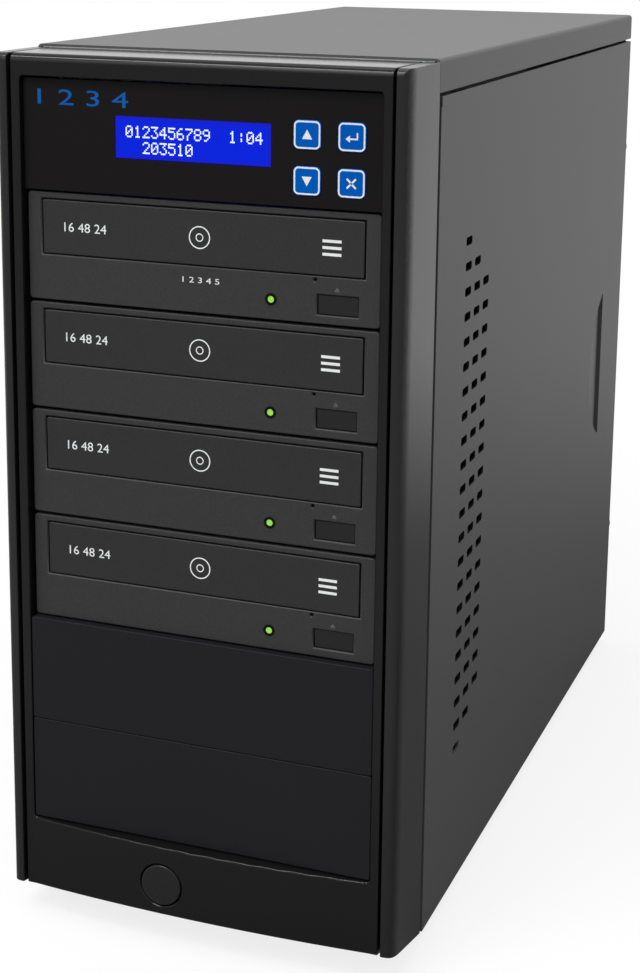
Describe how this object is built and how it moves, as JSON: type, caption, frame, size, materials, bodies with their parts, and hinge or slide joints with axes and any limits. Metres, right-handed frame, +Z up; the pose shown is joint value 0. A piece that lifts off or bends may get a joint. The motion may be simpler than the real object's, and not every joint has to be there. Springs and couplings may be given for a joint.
{
  "type": "disc duplicator tower",
  "caption": "Tower case with stacked disc drives behind a black bezel, a small display with push keys, blank bay covers and removable steel side panels.",
  "frame": {"origin": "on the floor, under the middle of the bounding box", "axes": "+Z up, +X to the right seen from the front, +Y to the rear"},
  "size_m": [0.169, 0.4042, 0.3628],
  "materials": {
    "bezel_plastic": "satin black moulded plastic",
    "zinc_steel": "zinc-plated sheet steel",
    "case_paint": "fine-textured dark grey powder coat",
    "drive_steel": "plated sheet steel",
    "drive_plastic": "fine-textured dark grey plastic",
    "tray_plastic": "dark grey plastic",
    "turntable_plastic": "grey plastic turntable",
    "led_green": "clear green light pipe",
    "key_blue": "blue rubbery keycap with a white outline",
    "display_blue": "blue backlit dot-matrix display",
    "circuit_board": "green circuit board",
    "blank_plastic": "near-black plastic",
    "faceplate_plastic": "near-black plastic",
    "button_plastic": "satin black plastic",
    "switch_plastic": "black plastic",
    "fan_plastic": "black plastic",
    "foot_rubber": "black rubber",
    "thumb_plastic": "black knurled thumb-screw heads",
    "screw_steel": "zinc-plated steel"
  },
  "bodies": {
    "chassis": {"base_pan": "zinc_steel", "bezel_frame": "bezel_plastic", "bezel_pillar_left": "bezel_plastic", "bezel_pillar_right": "bezel_plastic", "blank_cover_lower": "blank_plastic", "blank_cover_upper": "blank_plastic", "case_fan_frame": "fan_plastic", "control_faceplate": "faceplate_plastic", "controller_board": "circuit_board", "controller_bracket": "zinc_steel", "display_board": "circuit_board", "drive_1_bezel": "drive_plastic", "drive_1_case": "drive_steel", "drive_2_bezel": "drive_plastic", "drive_2_case": "drive_steel", "drive_3_bezel": "drive_plastic", "drive_3_case": "drive_steel", "drive_4_bezel": "drive_plastic", "drive_4_case": "drive_steel", "drive_cage_left": "zinc_steel", "drive_cage_right": "zinc_steel", "drive_leds": "led_green", "front_plate": "zinc_steel", "lcd_module": "display_blue", "machine_screws": "screw_steel", "power_inlet": "switch_plastic", "power_switch": "switch_plastic", "psu_fan_frame": "fan_plastic", "psu_housing": "zinc_steel", "rear_panel": "zinc_steel", "rubber_feet": "foot_rubber", "top_cover": "case_paint"},
    "side_panel_left_body": {"side_panel_left": "case_paint", "thumb_screws_left": "thumb_plastic"},
    "side_panel_right_body": {"side_panel_right": "case_paint", "thumb_screws_right": "thumb_plastic"},
    "power_button_body": {"power_button": "button_plastic"},
    "key_up_body": {"key_up": "key_blue"},
    "key_down_body": {"key_down": "key_blue"},
    "key_enter_body": {"key_enter": "key_blue"},
    "key_escape_body": {"key_escape": "key_blue"},
    "drive_1_tray_body": {"drive_1_tray": "tray_plastic", "drive_1_tray_front": "drive_plastic"},
    "drive_1_eject_body": {"drive_1_eject_button": "drive_plastic"},
    "drive_1_spindle_body": {"drive_1_spindle": "turntable_plastic"},
    "drive_2_tray_body": {"drive_2_tray": "tray_plastic", "drive_2_tray_front": "drive_plastic"},
    "drive_2_eject_body": {"drive_2_eject_button": "drive_plastic"},
    "drive_2_spindle_body": {"drive_2_spindle": "turntable_plastic"},
    "drive_3_tray_body": {"drive_3_tray": "tray_plastic", "drive_3_tray_front": "drive_plastic"},
    "drive_3_eject_body": {"drive_3_eject_button": "drive_plastic"},
    "drive_3_spindle_body": {"drive_3_spindle": "turntable_plastic"},
    "drive_4_tray_body": {"drive_4_tray": "tray_plastic", "drive_4_tray_front": "drive_plastic"},
    "drive_4_eject_body": {"drive_4_eject_button": "drive_plastic"},
    "drive_4_spindle_body": {"drive_4_spindle": "turntable_plastic"},
    "psu_fan_rotor_body": {"psu_fan_rotor": "fan_plastic"},
    "case_fan_rotor_body": {"case_fan_rotor": "fan_plastic"},
    "rocker_body": {"rocker": "switch_plastic"}
  },
  "joints": [
    {"name": "drive_1_tray_slide", "type": "slide", "parent": "chassis", "child": "drive_1_tray_body", "axis": [0, -1, 0], "range_m": [0, 0.138]},
    {"name": "drive_1_eject_press", "type": "slide", "parent": "chassis", "child": "drive_1_eject_body", "axis": [0, 1, 0], "range_m": [0, 0.001], "stiffness_N_per_m": 800},
    {"name": "drive_1_disc_spin", "type": "hinge", "parent": "chassis", "child": "drive_1_spindle_body", "pos_m": [0, -0.1187, 0], "axis": [0, 0, 1], "continuous": true},
    {"name": "drive_2_tray_slide", "type": "slide", "parent": "chassis", "child": "drive_2_tray_body", "axis": [0, -1, 0], "range_m": [0, 0.138]},
    {"name": "drive_2_eject_press", "type": "slide", "parent": "chassis", "child": "drive_2_eject_body", "axis": [0, 1, 0], "range_m": [0, 0.001], "stiffness_N_per_m": 800},
    {"name": "drive_2_disc_spin", "type": "hinge", "parent": "chassis", "child": "drive_2_spindle_body", "pos_m": [0, -0.1187, 0], "axis": [0, 0, 1], "continuous": true},
    {"name": "drive_3_tray_slide", "type": "slide", "parent": "chassis", "child": "drive_3_tray_body", "axis": [0, -1, 0], "range_m": [0, 0.138]},
    {"name": "drive_3_eject_press", "type": "slide", "parent": "chassis", "child": "drive_3_eject_body", "axis": [0, 1, 0], "range_m": [0, 0.001], "stiffness_N_per_m": 800},
    {"name": "drive_3_disc_spin", "type": "hinge", "parent": "chassis", "child": "drive_3_spindle_body", "pos_m": [0, -0.1187, 0], "axis": [0, 0, 1], "continuous": true},
    {"name": "drive_4_tray_slide", "type": "slide", "parent": "chassis", "child": "drive_4_tray_body", "axis": [0, -1, 0], "range_m": [0, 0.138]},
    {"name": "drive_4_eject_press", "type": "slide", "parent": "chassis", "child": "drive_4_eject_body", "axis": [0, 1, 0], "range_m": [0, 0.001], "stiffness_N_per_m": 800},
    {"name": "drive_4_disc_spin", "type": "hinge", "parent": "chassis", "child": "drive_4_spindle_body", "pos_m": [0, -0.1187, 0], "axis": [0, 0, 1], "continuous": true},
    {"name": "key_up_press", "type": "slide", "parent": "chassis", "child": "key_up_body", "axis": [0, 1, 0], "range_m": [0, 0.0005], "stiffness_N_per_m": 1000},
    {"name": "key_down_press", "type": "slide", "parent": "chassis", "child": "key_down_body", "axis": [0, 1, 0], "range_m": [0, 0.0005], "stiffness_N_per_m": 1000},
    {"name": "key_enter_press", "type": "slide", "parent": "chassis", "child": "key_enter_body", "axis": [0, 1, 0], "range_m": [0, 0.0005], "stiffness_N_per_m": 1000},
    {"name": "key_escape_press", "type": "slide", "parent": "chassis", "child": "key_escape_body", "axis": [0, 1, 0], "range_m": [0, 0.0005], "stiffness_N_per_m": 1000},
    {"name": "power_button_press", "type": "slide", "parent": "chassis", "child": "power_button_body", "axis": [0, 1, 0], "range_m": [0, 0.002], "stiffness_N_per_m": 500},
    {"name": "side_panel_left_slide", "type": "slide", "parent": "chassis", "child": "side_panel_left_body", "axis": [0, 1, 0], "range_m": [0, 0.022]},
    {"name": "side_panel_right_slide", "type": "slide", "parent": "chassis", "child": "side_panel_right_body", "axis": [0, 1, 0], "range_m": [0, 0.022]},
    {"name": "psu_fan_spin", "type": "hinge", "parent": "chassis", "child": "psu_fan_rotor_body", "pos_m": [0.025, 0.1797, 0.0514], "axis": [0, 1, 0], "continuous": true},
    {"name": "case_fan_spin", "type": "hinge", "parent": "chassis", "child": "case_fan_rotor_body", "pos_m": [0, 0.1807, 0.232], "axis": [0, 1, 0], "continuous": true},
    {"name": "rocker_tilt", "type": "hinge", "parent": "chassis", "child": "rocker_body", "pos_m": [-0.046, 0.1911, 0.0664], "axis": [1, 0, 0], "range_deg": [-16, 0]}
  ]
}
